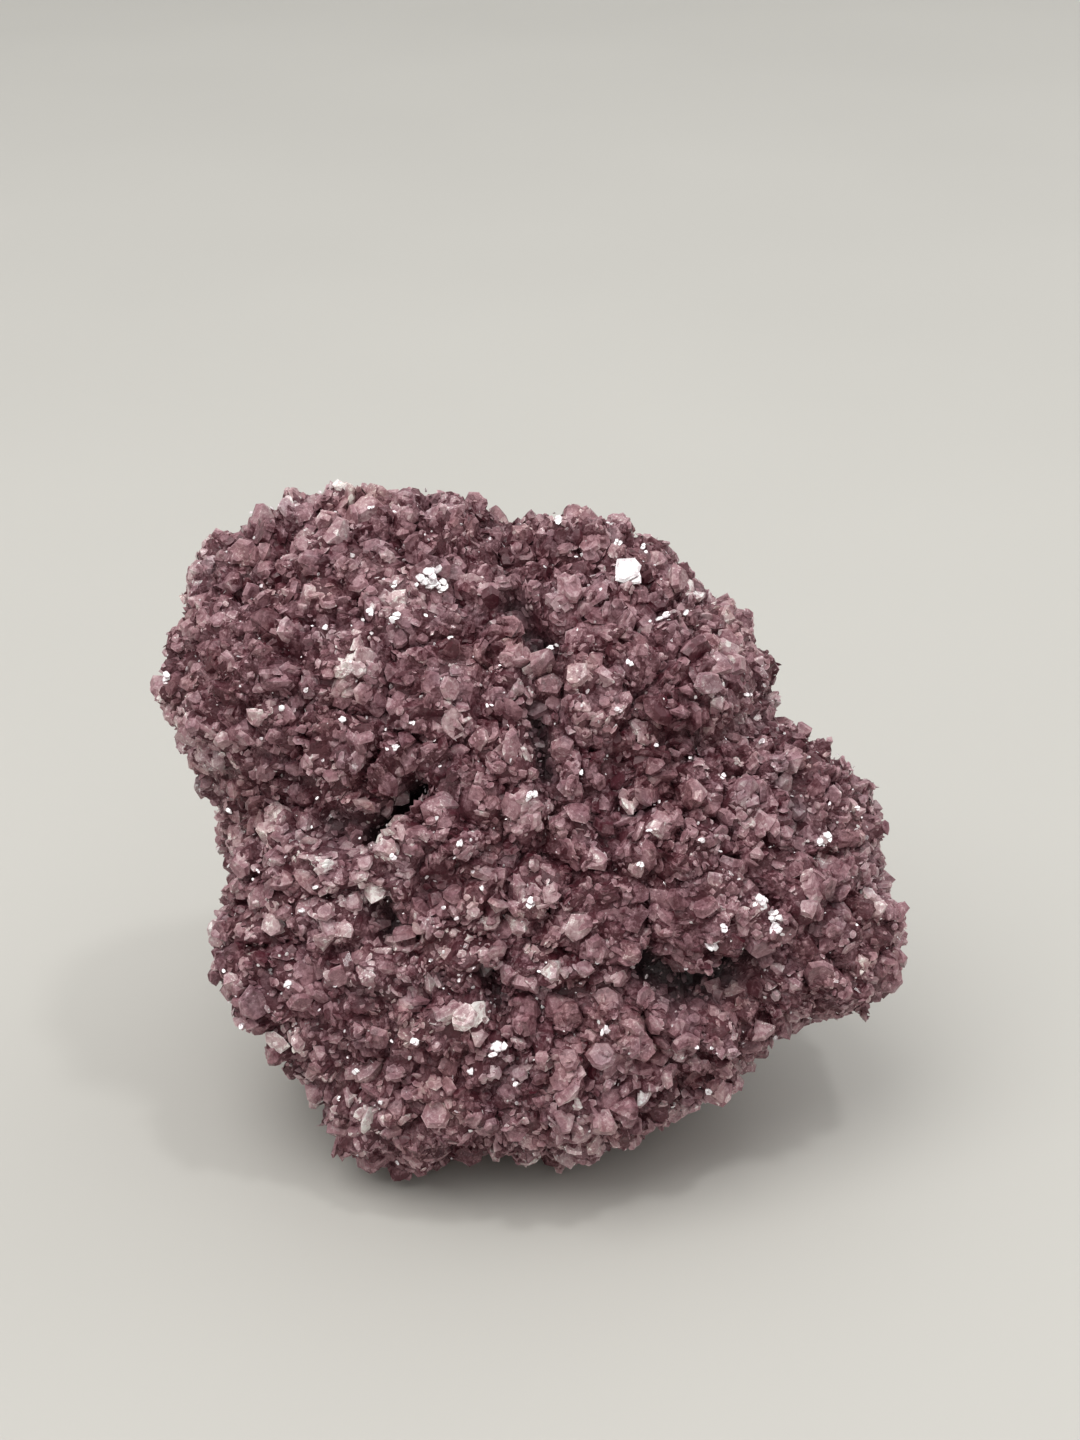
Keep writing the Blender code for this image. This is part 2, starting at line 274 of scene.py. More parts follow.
# The tones of the four mica colours, and what is added from cell to cell, in a few cells as painted glints
# and on a rim as a painted highlight.
COLOUR_TONES = (0.0, 0.45, 0.79, 1.0)
CELL_TONE = (0.0, 1.0, -0.1, 0.1)
PAINTED_GLINT_CELLS = (0.94, 1.0, 0.0, 0.3)
RIM_POWER = 4.0
RIM_HIGHLIGHT_TONE = 0.18
# Roughness by gloss, and what is added to it in scuffed cells.
GLOSS_ROUGHNESS = (0.0, 1.0, 0.45, 0.12)
SCUFFED_CELLS = (0.2, 1.0, 0.0, 0.25)
# The body goes black in the deepest hollows: painted shade.
GAP_SHADE_DEPTHS = (0.5, 0.9, 0.0, 0.9)
GAP_SHADE_COLOUR = (0.01, 0.004, 0.005)
# The clear outermost layer of the mica.
MICA_POLISH = {"Coat Weight": 0.2, "Coat Roughness": 0.08, "IOR": 1.45}
FLAKE_METAL = 0.4
TABLE_ROUGHNESS = 0.6

# The photo's frame, in pixels, and where the camera's line of sight meets the face frame's middle plane, in
# millimetres.
PHOTO_WIDTH = 1080
PHOTO_HEIGHT = 1440
SIGHT_POINT = (1.197, 13.17)
SENSOR = 36.0
CAMERA_NEAR = 0.01
# Lights, in metres and watts, all aimed at one point.
LIT_POINT = (0.0, 0.0, 0.035)
KEY_PLACE = (-0.3, -0.25, 0.9)
KEY_COLOUR = (1.0, 0.985, 0.965)
FILL_PLACE = (0.75, 0.55, 0.6)
FILL_SIZE = 0.8
FILL_COLOUR = (0.98, 0.98, 1.0)
SPARK_PLACE = (0.25, -0.1, 0.85)
SPARK_SIZE = 0.09
SPARK_POWER = 1.0
SPARK_COLOUR = (1.0, 1.0, 1.0)
ROOM_COLOUR = (0.98, 0.975, 0.97, 1.0)
# The table top's faces round it, across its level part and up its rim.
TABLE_TURNS = 96
TABLE_RINGS = 12
TABLE_BENDS = 16


def length(vectors):
    return np.linalg.norm(vectors, axis=-1)


def unit(vectors):
    return vectors / length(vectors)[..., None]


def closed_curve(points, angle):
    """Smooth closed curve through (degrees, value) points, a Catmull-Rom cubic, read at these angles."""
    at, value = np.array(points, float).T
    at = np.concatenate([at[-2:] - 360.0, at, at[:2] + 360.0])
    value = np.concatenate([value[-2:], value, value[:2]])
    slope = np.zeros_like(value)
    slope[1:-1] = (value[2:] - value[:-2]) / (at[2:] - at[:-2])
    angle = np.mod(angle, 360.0)
    i = np.clip(np.searchsorted(at, angle, side="right") - 1, 1, len(at) - 3)
    span = at[i + 1] - at[i]
    t = (angle - at[i]) / span
    return (
        (2 * t**3 - 3 * t**2 + 1) * value[i]
        + (t**3 - 2 * t**2 + t) * span * slope[i]
        + (3 * t**2 - 2 * t**3) * value[i + 1]
        + (t**3 - t**2) * span * slope[i + 1]
    )


def block(direction):
    """The bare block in each direction, which is cut down to the fractures.

    The outline's radius at the bearing and the depth of that side, each times the superellipse
    (across^p + along^p)^(-1/p), give the bulged block. Its radius R and the distance of each fracture
    along the same ray then meet as the power mean (R^-16 + sum of distance^-16)^(-1/16).
    """
    direction = unit(direction)
    bearing = np.degrees(np.arctan2(direction[:, 1], direction[:, 0]))
    across = np.hypot(direction[:, 0], direction[:, 1])
    along = direction[:, 2]
    shoulder = np.where(along > 0, FRONT_SHOULDER, BACK_SHOULDER)
    depth = np.where(along > 0, FRONT_DEPTH, BACK_DEPTH)
    reach = (across**shoulder + np.abs(along) ** shoulder) ** (-1.0 / shoulder)
    spread = (closed_curve(OUTLINE, bearing) * reach)[:, None] * direction[:, :2]
    lift = along * depth * reach + closed_curve(RIM_OFFSET, bearing) * across**4
    points = np.column_stack([spread, lift])
    ray = unit(points)
    crowd = length(points) ** -FRACTURE_SHARPNESS
    for normal, distance in FRACTURES:
        leans = ray @ (np.array(normal) / np.linalg.norm(normal))
        crowd += (np.maximum(leans, 0.0) / distance) ** FRACTURE_SHARPNESS
    return ray * (crowd ** (-1.0 / FRACTURE_SHARPNESS))[:, None]


def block_facing(direction):
    """Which way the bare block faces: square to two short steps across it."""
    pole = np.where(np.abs(direction[:, 2:]) < NEAR_POLE, (0.0, 0.0, 1.0), (1.0, 0.0, 0.0))
    across = unit(np.cross(pole, direction)) * FACING_STEP
    along = np.cross(direction, across)
    one_way = block(direction + across) - block(direction - across)
    other_way = block(direction + along) - block(direction - along)
    return unit(np.cross(one_way, other_way))


def distance_to_path(points, path):
    """Distance in x and y from each point to a path of straight runs."""
    nearest = np.full(len(points), np.inf)
    for start, end in zip(np.array(path[:-1]), np.array(path[1:])):
        run = end - start
        share = np.clip(((points - start) @ run) / (run @ run), 0.0, 1.0)
        nearest = np.minimum(nearest, length(points - start - share[:, None] * run))
    return nearest


def on_front(points):
    """1 on the broad face, falling to 0 a little behind its rim."""
    return np.clip((points[:, 2] + FRONT_FADE) / (2 * FRONT_FADE), 0.0, 1.0)


def bells(points, places):
    """The bells round places of the broad face, added up: each height * exp(-(distance / radius)^2)."""
    total = np.zeros(len(points))
    for x, y, radius, height in places:
        away = np.hypot(points[:, 0] - x, points[:, 1] - y) / radius
        total += height * np.exp(-(away**2))
    return total * on_front(points)


def cleft_depth(points):
    """Depth of the clefts of the front, each depth * exp(-(distance from its path / width)^4)."""
    depth = np.zeros(len(points))
    for path, half_width, deepest in CLEFTS:
        away = distance_to_path(points[:, :2], path) / half_width
        depth = np.maximum(depth, deepest * np.exp(-(away**4)))
    return depth * on_front(points)


def even_directions(rng, count):
    """Random directions, spread evenly over a sphere, one row each."""
    return unit(rng.normal(size=(count, 3)))


def knobs(points):
    """Height of the rounded knobs and hollows, and of the foot: bells round points of the bare block."""
    rng = np.random.default_rng(KNOB_SEED)
    height = np.zeros(len(points))
    centres = block(even_directions(rng, KNOB_COUNT))
    radii = rng.uniform(*KNOB_RADIUS, KNOB_COUNT)
    rises = rng.uniform(-KNOB_HEIGHT, KNOB_HEIGHT, KNOB_COUNT)
    for centre, radius, rise in zip(centres, radii, rises):
        height += rise * np.exp(-((length(points - centre) / radius) ** 2))
    foot = block(np.array([FOOT_DIRECTION]))
    return height + FOOT_RISE * np.exp(-((length(points - foot) / FOOT_RADIUS) ** 4))


def rough_surface(direction):
    """The stone without crystals and clefts, and the line that each point of it moves along."""
    bare = block(direction)
    line = (1.0 - FACING_SHARE) * unit(bare - LINES_FROM) + FACING_SHARE * block_facing(direction)
    line = unit(line)
    return bare, bare + line * (bells(bare, SWELLINGS) + knobs(bare))[:, None], line


def turned(side, other, turn):
    """Directions turned from one side toward the other: cos t * side + sin t * other for each turn t."""
    return np.cos(turn)[..., None] * side[:, None] + np.sin(turn)[..., None] * other[:, None]


def spaced(points, spacing):
    """The points, less each one that is nearer than the spacing to one before it."""
    kept = points[:1]
    for point in points[1:]:
        if length(kept - point).min() > spacing:
            kept = np.vstack([kept, point])
    return kept


def book_faces(rng, count):
    """Outward directions of each book's six sides and two ends, and their distances from its middle."""
    axis = even_directions(rng, count)
    side = unit(np.cross(axis, even_directions(rng, count)))
    sides = turned(side, np.cross(axis, side), np.arange(BOOK_SIDES) * TAU / BOOK_SIDES)
    normals = np.concatenate([sides, axis[:, None], -axis[:, None]], axis=1)
    sizes = [rng.uniform(*limits, (count, 1)) for limits in (BOOK_RADIUS, BOOK_HALF_HEIGHT)]
    return normals, np.repeat(np.concatenate(sizes, axis=1), (BOOK_SIDES, 2), axis=1)


def book_rise(points, line):
    """How far above each point its line last leaves a coarse book, or 0 where it meets none.

    The line enters a book at the farthest of the faces that it runs against, and leaves it at the nearest
    of those that it runs with. It meets the book where it enters before it leaves.
    """
    rng = np.random.default_rng(BOOK_SEED)
    _, sites, out = rough_surface(even_directions(rng, BOOK_CANDIDATES))
    centres = spaced(sites - out * BOOK_SINK, BOOK_SPACING)
    normals, distances = book_faces(rng, len(centres))
    rise = np.zeros(len(points))
    for share in np.array_split(np.arange(len(points)), SHARES):
        offset = points[share, None] - centres
        near = np.argpartition((offset**2).sum(axis=2), NEAR_BOOKS, axis=1)[:, :NEAR_BOOKS]
        offset = np.take_along_axis(offset, near[:, :, None], axis=1)
        leans = (normals[near] * line[share, None, None]).sum(axis=3)
        leans = np.where(np.abs(leans) < LEAST_LEAN, LEAST_LEAN, leans)
        meets = (distances[near] - (normals[near] * offset[:, :, None]).sum(axis=3)) / leans
        leaves = np.where(leans > 0, meets, np.inf).min(axis=2)
        enters = np.where(leans < 0, meets, -np.inf).max(axis=2)
        rise[share] = np.maximum(np.where(leaves > enters, leaves, 0.0).max(axis=1), 0.0)
    return rise


def crease_depth(points):
    """Depth of the creases between clumps: depth * exp(-((far - near) / width)^2), where near and far are
    the distances to the two nearest of the clumps' middles."""
    rng = np.random.default_rng(CREASE_SEED)
    middles = block(even_directions(rng, CLUMP_COUNT))
    depth = np.zeros(len(points))
    for share in np.array_split(np.arange(len(points)), SHARES):
        away = length(points[share, None] - middles)
        near, far = np.partition(away, 1, axis=1)[:, :2].T
        depth[share] = CREASE_DEPTH * np.exp(-(((far - near) / CREASE_HALF_WIDTH) ** 2))
    return depth


def nearest(points, middles):
    """The number of the middle nearest to each point."""
    found = np.zeros(len(points), int)
    for share in np.array_split(np.arange(len(points)), SHARES):
        found[share] = length(points[share, None] - middles).argmin(axis=1)
    return found


def stand_up(points):
    """Turns points of the face frame, in millimetres, into the object's frame, in metres."""
    return (turned_up(points) + BLOCK_CENTRE) * MM


def worn(points):
    """The placed points, with the underside worn flat.

    A height z below the top of the worn layer becomes base + span * exp((z - top) / span), where span is
    top - base. Heights keep their order, so no two parts come to lie in one plane.
    """
    base = BASE_LEVEL * MM
    top = WORN_BELOW * MM
    span = top - base
    height = points[:, 2]
    pressed = base + span * np.exp((np.minimum(height, top) - top) / span)
    return np.column_stack([points[:, :2], np.where(height < top, pressed, height)])


def turned_up(vectors):
    """The face frame's x stays, and its y and z axes lean back and forward by the tilt of the face."""
    tilt = math.radians(FACE_TILT_DEG)
    x, y, z = vectors.T
    back = y * math.sin(tilt) - z * math.cos(tilt)
    height = y * math.cos(tilt) + z * math.sin(tilt)
    return np.column_stack([x, back, height])


def ball_grid(steps):
    """Directions, square faces and map places of a cube's six sides blown up to a ball.

    On each side, the direction at the two parameters u and v, from -45 to 45 degrees, is the side's own
    direction + tan u * one edge + tan v * the other, at length 1. Points on the cube's edges are joined.
    """
    angle = np.linspace(-math.pi / 4, math.pi / 4, steps + 1)
    u, v = np.meshgrid(np.tan(angle), np.tan(angle), indexing="ij")
    corner = np.arange((steps + 1) ** 2).reshape(steps + 1, steps + 1)
    square = np.stack([corner[:-1, :-1], corner[1:, :-1], corner[1:, 1:], corner[:-1, 1:]], axis=-1)
    square = square.reshape(-1, 4)
    share = np.linspace(0, 1, steps + 1)
    at_corners = np.stack(np.meshgrid(share, share, indexing="ij"), axis=-1).reshape(-1, 2)
    directions = []
    faces = []
    places = []
    axes = np.eye(3)
    for side in range(6):
        way = axes[side % 3] * (1.0 if side < 3 else -1.0)
        one = axes[(side + 1) % 3]
        other = np.cross(way, one)
        directions.append(unit(way + u[..., None] * one + v[..., None] * other).reshape(-1, 3))
        faces.append(square + side * corner.size)
        at = at_corners * (1 - 2 * MAP_MARGIN) + MAP_MARGIN
        places.append((at + (side % 3, side // 3)) / (3, 2))
    directions = np.concatenate(directions)
    faces = np.concatenate(faces)
    places = np.concatenate(places)[faces.ravel()]
    rounded = directions.round(JOINED_DIGITS)
    _, first, joined = np.unique(rounded, axis=0, return_index=True, return_inverse=True)
    return directions[first], joined.ravel()[faces], places


def new_mesh(name, points, faces):
    """A mesh of points and of rows of corner numbers, given as one array for each number of corners."""
    mesh = bpy.data.meshes.new(name)
    mesh.vertices.add(len(points))
    mesh.vertices.foreach_set("co", points.astype(np.float32).ravel())
    sizes = np.concatenate([np.full(len(rows), rows.shape[1]) for rows in faces])
    corners = np.concatenate([rows.ravel() for rows in faces])
    mesh.loops.add(len(corners))
    mesh.loops.foreach_set("vertex_index", corners.astype(np.int32))
    mesh.polygons.add(len(sizes))
    mesh.polygons.foreach_set("loop_start", np.concatenate([[0], np.cumsum(sizes)[:-1]]).astype(np.int32))
    mesh.update(calc_edges=True)
    mesh.shade_flat()
    return mesh


def new_object(name, data):
    """A new object in the scene, of a mesh, a light or a camera."""
    made = bpy.data.objects.new(name, data)
    bpy.context.scene.collection.objects.link(made)
    return made


def new_piece(mesh, material):
    """The object of a finished mesh, riding on the stone and wearing the material given."""
    mesh.materials.append(material)
    piece = new_object(mesh.name, mesh)
    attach(piece, "root")
    return piece


def add_attribute(mesh, name, values):
    """A number for each point of the mesh, which its material reads."""
    attribute = mesh.attributes.new(name, "FLOAT", "POINT")
    attribute.data.foreach_set("value", values.astype(np.float32).ravel())


def add_places(mesh, places):
    """The piece's own map, on which its colours can be laid down."""
    layer = mesh.uv_layers.new(name="OFBake", do_init=False)
    layer.uv.foreach_set("vector", places.astype(np.float32).ravel())


class Body:
    """The body's points in the face frame, its faces, and how deep each point lies in a hollow or a crease,
    from 0 to 1."""

    def __init__(self):
        direction, self.faces, self.places = ball_grid(BODY_STEPS)
        bare, rough, line = rough_surface(direction)
        cleft = cleft_depth(bare)
        crease = crease_depth(bare)
        height = book_rise(rough, line) - np.maximum(cleft, crease) + BODY_RISE
        self.points = rough + line * height[:, None]
        self.hollow = np.clip(cleft / DEEPEST, 0.0, 1.0)
        self.crease = np.clip(crease / CREASE_DEPTH, 0.0, 1.0)
        corners = self.points[self.faces]
        normal = np.cross(corners[:, 2] - corners[:, 0], corners[:, 3] - corners[:, 1])
        self.area = length(normal) / 2
        self.facing = unit(normal)

    def sites(self, rng, count):
        """Random places on the faces, even by area: their points, facings, hollowness and crease."""
        face = rng.choice(len(self.faces), count, p=self.area / self.area.sum())
        s, t = rng.uniform(size=(2, count))
        weight = np.stack([(1 - s) * (1 - t), s * (1 - t), s * t, (1 - s) * t], axis=1)
        corners = self.faces[face]
        return (
            (self.points[corners] * weight[:, :, None]).sum(axis=1),
            self.facing[face],
            (self.hollow[corners] * weight).sum(axis=1),
            (self.crease[corners] * weight).sum(axis=1),
        )


# The body, and the points of the plates and grains that lie on it, as far as they are worked out.
_body = []
_laid = []


def body():
    """The body, worked out once."""
    if not _body:
        _body.append(Body())
    return _body[0]


def rings(rng, centre, axis, radius, half_height, narrowness):
    """Each ring's rays from its middle, and its corners, which are waved a little along its axis.

    At turn t a ray is radius * jitter * (cos t * side + narrow * sin t * other), where side and other are
    square to the axis.
    """
    count = len(axis)
    side = unit(np.cross(axis, even_directions(rng, count)))
    other = np.cross(axis, side) * rng.uniform(*narrowness, (count, 1))
    turn = np.arange(SIDES) * TAU / SIDES + rng.uniform(-TURN_JITTER, TURN_JITTER, (count, SIDES))
    reach = radius[:, None] * rng.uniform(1 - CORNER_JITTER, 1 + CORNER_JITTER, (count, SIDES))
    rays = turned(side, other, turn) * reach[..., None]
    wave = rng.uniform(-RING_JITTER, RING_JITTER, (count, SIDES, 1)) * half_height[:, None, None]
    return rays, centre[:, None] + rays + axis[:, None] * wave


def plate_points(rng, centre, axis, radius, half_height, narrowness=RING_NARROWNESS):
    """Mica plates with a rounded edge: for each the ring of its edge, the ring of its cap, and a root.

    The cap is the edge's rays drawn in and lifted by the half height, and the root lies far down the axis,
    inside the stone.
    """
    rays, edge = rings(rng, centre, axis, radius, half_height, narrowness)
    count = len(centre)
    lift = rng.uniform(1 - CAP_JITTER, 1 + CAP_JITTER, (count, SIDES, 1)) * half_height[:, None, None]
    inset = rng.uniform(*CAP_INSET, (count, 1, 1))
    cap = centre[:, None] + rays * inset + axis[:, None] * lift
    root = centre - axis * (half_height * ROOT_DEPTH)[:, None]
    return np.concatenate([edge, cap, root[:, None]], axis=1)


def grain_points(rng, centre, axis, radius, half_height):
    """Small rounded grains: for each the ring of its edge, its top and its bottom.

    The top and the bottom are the centre +- the half height along the axis, slipped sideways.
    """
    rays, edge = rings(rng, centre, axis, radius, half_height, RING_NARROWNESS)
    count = len(centre)
    rise = rng.uniform(*DOME, (count, 2)) * half_height[:, None] * (1.0, -1.0)
    slip = rng.uniform(-SLIP, SLIP, (count, 2, 1)) * rays[:, :2]
    ends = centre[:, None] + axis[:, None] * rise[..., None] + slip
    return np.concatenate([edge, ends], axis=1)


def repeated(faces, count, step):
    """One shape's rows of corner numbers, repeated for many shapes of so many points each."""
    return (np.arange(count)[:, None, None] * step + faces).reshape(-1, faces.shape[1])


def fan(tip, here, after):
    """Triangles from one point to each pair of points."""
    return np.stack([np.full(len(here), tip), here, after], axis=1)


def plate_faces():
    """One plate's cap, the band between cap and edge, and the triangles down to its root."""
    here = np.arange(SIDES)
    after = (here + 1) % SIDES
    band = np.stack([here, after, SIDES + after, SIDES + here], axis=1)
    return [SIDES + here[None], band, fan(2 * SIDES, after, here)]


def grain_faces():
    """One grain's upper and lower triangles."""
    here = np.arange(SIDES)
    after = (here + 1) % SIDES
    return [fan(SIDES, here, after), fan(SIDES + 1, after, here)]


def map_places(groups, radii, count):
    """A square of the map for each shape. A corner lies on a circle of its point's radius at its own turn,
    and the lower triangles stand outside the ring, each with a point of its own for the root."""
    across = math.ceil(math.sqrt(count))
    step = TAU / SIDES
    placed = []
    for faces in groups:
        turn = (faces % SIDES) * step
        reach = np.array(radii)[faces]
        if reach[0].max() > RING_PLACE:
            turn = np.where(reach > RING_PLACE, (faces[:, 2:] % SIDES) * step + step / 2, turn)
        placed.append(np.stack([np.cos(turn) * reach, np.sin(turn) * reach], axis=-1).reshape(-1, 2))
    cell = np.stack([np.arange(count) % across, np.arange(count) // across], axis=1)[:, None] + 0.5
    return np.concatenate([(cell + places).reshape(-1, 2) for places in placed]) / across


def mica_mesh(name, points, groups, radii, rim, tone, hollow, gloss):
    """One smooth mesh of many plates or grains, with each one's tone, hollowness and gloss and its points'
    rim: 1 on the edge and 0 away from it."""
    count, step = points.shape[:2]
    placed = worn(stand_up(points.reshape(-1, 3)))
    mesh = new_mesh(name, placed, [repeated(faces, count, step) for faces in groups])
    mesh.shade_smooth()
    mesh.set_sharp_from_angle(angle=math.radians(SHARP_EDGE_DEG))
    for kind, values in (("tone", tone), ("hollow", hollow), ("gloss", gloss)):
        add_attribute(mesh, kind, np.repeat(values, step))
    add_attribute(mesh, "rim", np.tile(rim, count))
    add_places(mesh, map_places(groups, radii, count))
    return mesh


# A shape's faces, where its points lie on its square of the map, and how near its rim they are.
PLATE_SHAPE = (
    plate_faces(),
    [RING_PLACE] * SIDES + [CAP_PLACE] * SIDES + [ROOT_PLACE],
    [1.0] * SIDES + [0.0] * SIDES + [1.0],
)
GRAIN_SHAPE = (grain_faces(), [RING_PLACE] * SIDES + [0.0, ROOT_PLACE], [1.0] * SIDES + [0.0, 0.0])


def above_base(points):
    """Which plates or grains reach above the level that the stone stands on."""
    height = stand_up(points.reshape(-1, 3))[:, 2].reshape(points.shape[:2])
    return height.max(axis=1) > BASE_LEVEL * MM


def seen_at(points, settings):
    """The photo column and row at which the camera sees points of the face frame.

    The camera looks straight at the face, so a point's place is its offset from the line of sight times the
    focal length in pixels over its distance.
    """
    distance = settings.distance / MM
    focal = settings.lens / SENSOR * PHOTO_HEIGHT
    offset = (points[:, :2] - SIGHT_POINT) * (focal / (distance - points[:, 2:]))
    return offset * (1.0, -1.0) + (PHOTO_WIDTH / 2, PHOTO_HEIGHT / 2)


def top_near(points, pixels, glint):
    """The point nearest the camera of those that it sees near a glint."""
    near = points[np.hypot(*(pixels - glint).T) < GLINT_REACH]
    return near[np.argmax(near[:, 2])]


def mirror_way(settings):
    """The way a face has to look to throw the key light at the camera, in the face frame."""
    eye = stand_up(np.array([[*SIGHT_POINT, settings.distance / MM]]))
    half = unit(unit(np.array([KEY_PLACE]) - LIT_POINT) + unit(eye - LIT_POINT))
    tilt = math.radians(FACE_TILT_DEG)
    x, back, height = half[0]
    up = back * math.sin(tilt) + height * math.cos(tilt)
    out = height * math.sin(tilt) - back * math.cos(tilt)
    return np.array([x, up, out])


class Nodes:
    """Short ways to add shader nodes to a material."""

    def __init__(self, name):
        self.material = bpy.data.materials.new(name)
        self.material.use_nodes = True
        self.tree = self.material.node_tree
        self.place = self.add("TexCoord", {})["Object"]

    def put(self, node, values):
        """Puts numbers, colours or other nodes' outputs into a node's sockets."""
        for name, value in values.items():
            if isinstance(value, bpy.types.NodeSocket):
                self.tree.links.new(value, node.inputs[name])
            else:
                node.inputs[name].default_value = value

    def shade(self, values):
        """Puts values into the material's own shader."""
        self.put(self.tree.nodes["Principled BSDF"], values)

    def add(self, kind, values, **settings):
        """The outputs of a new node of a kind, with these values and settings."""
        node = self.tree.nodes.new("ShaderNode" + kind)
        for name, value in settings.items():
            setattr(node, name, value)
        self.put(node, values)
        return node.outputs

    def math(self, operation, first, second):
        return self.add("Math", {0: first, 1: second}, operation=operation)[0]

    def vector(self, operation, *values):
        return self.add("VectorMath", dict(enumerate(values)), operation=operation)[0]

    def attribute(self, name):
        return self.add("Attribute", {}, attribute_name=name)["Fac"]

    def noise(self, scale, detail, roughness, distortion=0.0):
        """Soft noise from 0 to 1, with so many lumps to the metre."""
        values = {"Scale": scale, "Detail": detail, "Roughness": roughness, "Distortion": distortion}
        return self.add("TexNoise", {"Vector": self.place, **values})["Fac"]

    def centred(self, colour):
        """A random colour as a direction, any way about 0."""
        return self.vector("SUBTRACT", colour, (0.5, 0.5, 0.5))

    def cells(self, scale, waviness):
        """A random colour for each cell: so many to the metre, pushed about by noise like fused grains."""
        push = self.centred(self.add("TexNoise", {"Vector": self.place, "Scale": scale})["Color"])
        pushed = self.vector("MULTIPLY_ADD", push, (waviness / scale,) * 3, self.place)
        return self.add("TexVoronoi", {"Vector": pushed, "Scale": scale})["Color"]

    def channel(self, colour, number):
        return self.add("SeparateXYZ", {0: colour})[number]

    def tilted(self, cells, amount):
        """The surface's own facing, tilted another way in each cell."""
        own = self.add("NewGeometry", {})["Normal"]
        lean = self.vector("MULTIPLY_ADD", self.centred(cells), (2.0 * amount,) * 3, own)
        return self.vector("NORMALIZE", lean)

    def between(self, value, low, high, new_low, new_high):
        """The value's range carried over to another, held at both ends."""
        values = {"From Min": low, "From Max": high, "To Min": new_low, "To Max": new_high}
        return self.add("MapRange", {"Value": value, **values})["Result"]

    def pattern(self, noise, span):
        """A noise, its range carried over to another."""
        return self.between(self.noise(*noise), *span)

    def ramp(self, value, stops):
        """Colours at (position, colour) stops, and blended between them."""
        node = self.tree.nodes.new("ShaderNodeValToRGB")
        self.put(node, {"Fac": value})
        elements = node.color_ramp.elements
        while len(elements) < len(stops):
            elements.new(0.5)
        for element, (position, colour) in zip(elements, stops):
            element.position = position
            element.color = (*colour, 1.0)
        return node.outputs["Color"]

    def mix(self, share, first, second, blend="MIX"):
        """The first colour, gone over to the second or multiplied by it to the share given."""
        values = {"Factor": share, "A": first, "B": (*second, 1.0)}
        return self.add("Mix", values, data_type="RGBA", blend_type=blend)["Result"]

    def bump(self, noise, distance, strength, normal):
        """The surface's facing, roughened by a noise."""
        values = {"Distance": distance, "Strength": strength, "Normal": normal}
        return self.add("Bump", {"Height": self.noise(*noise), **values})["Normal"]


def mica_colour(nodes, settings, tone, cells):
    """Plum in the dark, mauve in the middle and pale pink where the mica splits, a few cells paler as
    painted
    glints, and greyed in the hollows: grey mica, darkened there as painted shade.
    """
    frost = nodes.math("MULTIPLY", nodes.pattern(*FROSTED_PARTS), nodes.pattern(*FROST))
    splits = nodes.between(nodes.channel(cells, 0), *CELL_TONE)
    # A few cells go paler, up to near white: painted glints.
    pale = nodes.between(nodes.channel(cells, 1), *PAINTED_GLINT_CELLS)
    broad = nodes.math("ADD", tone, nodes.pattern(*TONE_PATCHES))
    fine = nodes.math("ADD", nodes.pattern(*MOTTLE), splits)
    value = nodes.math("ADD", nodes.math("ADD", nodes.math("ADD", broad, fine), frost), pale)
    shades = (settings.dark_colour, settings.main_colour, settings.pale_colour, settings.palest_colour)
    colour = nodes.ramp(value, list(zip(COLOUR_TONES, shades)))
    colour = nodes.mix(nodes.pattern(*WARM_PARTS), colour, settings.warm_tint, "MULTIPLY")
    colour = nodes.mix(nodes.pattern(*COOL_PARTS), colour, settings.cool_tint, "MULTIPLY")
    # In the hollows the mica goes to a dark grey: grey mica, and painted shade in how dark it is.
    grey = nodes.math("MULTIPLY", nodes.attribute("hollow"), nodes.pattern(*HOLLOW_GREY_AND_SHADE_PARTS))
    return nodes.mix(grey, colour, settings.hollow_grey_and_shade_colour)


def body_material(settings):
    """The fused body between the grains: darker than they are, as painted shade between them, and duller,
    and painted black as shade in the gaps.
    """
    nodes = Nodes("lepidolite_body")
    cells = nodes.cells(*BODY_CELLS)
    # The deepest hollows are painted black: painted shade.
    painted_gap_shade = nodes.between(nodes.attribute("hollow"), *GAP_SHADE_DEPTHS)
    colour = mica_colour(nodes, settings, nodes.pattern(*BODY_SHADED_TONE), cells)
    nodes.shade({
        "Base Color": nodes.mix(painted_gap_shade, colour, GAP_SHADE_COLOUR),
        "Roughness": nodes.pattern(*BODY_ROUGHNESS),
        "Normal": nodes.bump(*BODY_BUMP, nodes.tilted(cells, BODY_TILT)),
        **MICA_POLISH,
    })
    return nodes.material


def mica_material(settings):
    """Mica plates and grains: glossy, with a pale thin edge painted as a highlight, and small splits that
    shine apart.
    """
    nodes = Nodes("lepidolite_mica")
    cells = nodes.cells(*MICA_CELLS)
    # The pale thin edge is a painted highlight.
    rim = nodes.math("MULTIPLY", nodes.math("POWER", nodes.attribute("rim"), RIM_POWER), RIM_HIGHLIGHT_TONE)
    tone = nodes.math("ADD", nodes.attribute("tone"), rim)
    gloss = nodes.between(nodes.attribute("gloss"), *GLOSS_ROUGHNESS)
    scuff = nodes.between(nodes.channel(cells, 2), *SCUFFED_CELLS)
    nodes.shade({
        "Base Color": mica_colour(nodes, settings, tone, cells),
        "Roughness": nodes.math("ADD", gloss, scuff),
        "Normal": nodes.bump(*MICA_BUMP, nodes.tilted(cells, MICA_TILT)),
        **MICA_POLISH,
    })
    return nodes.material


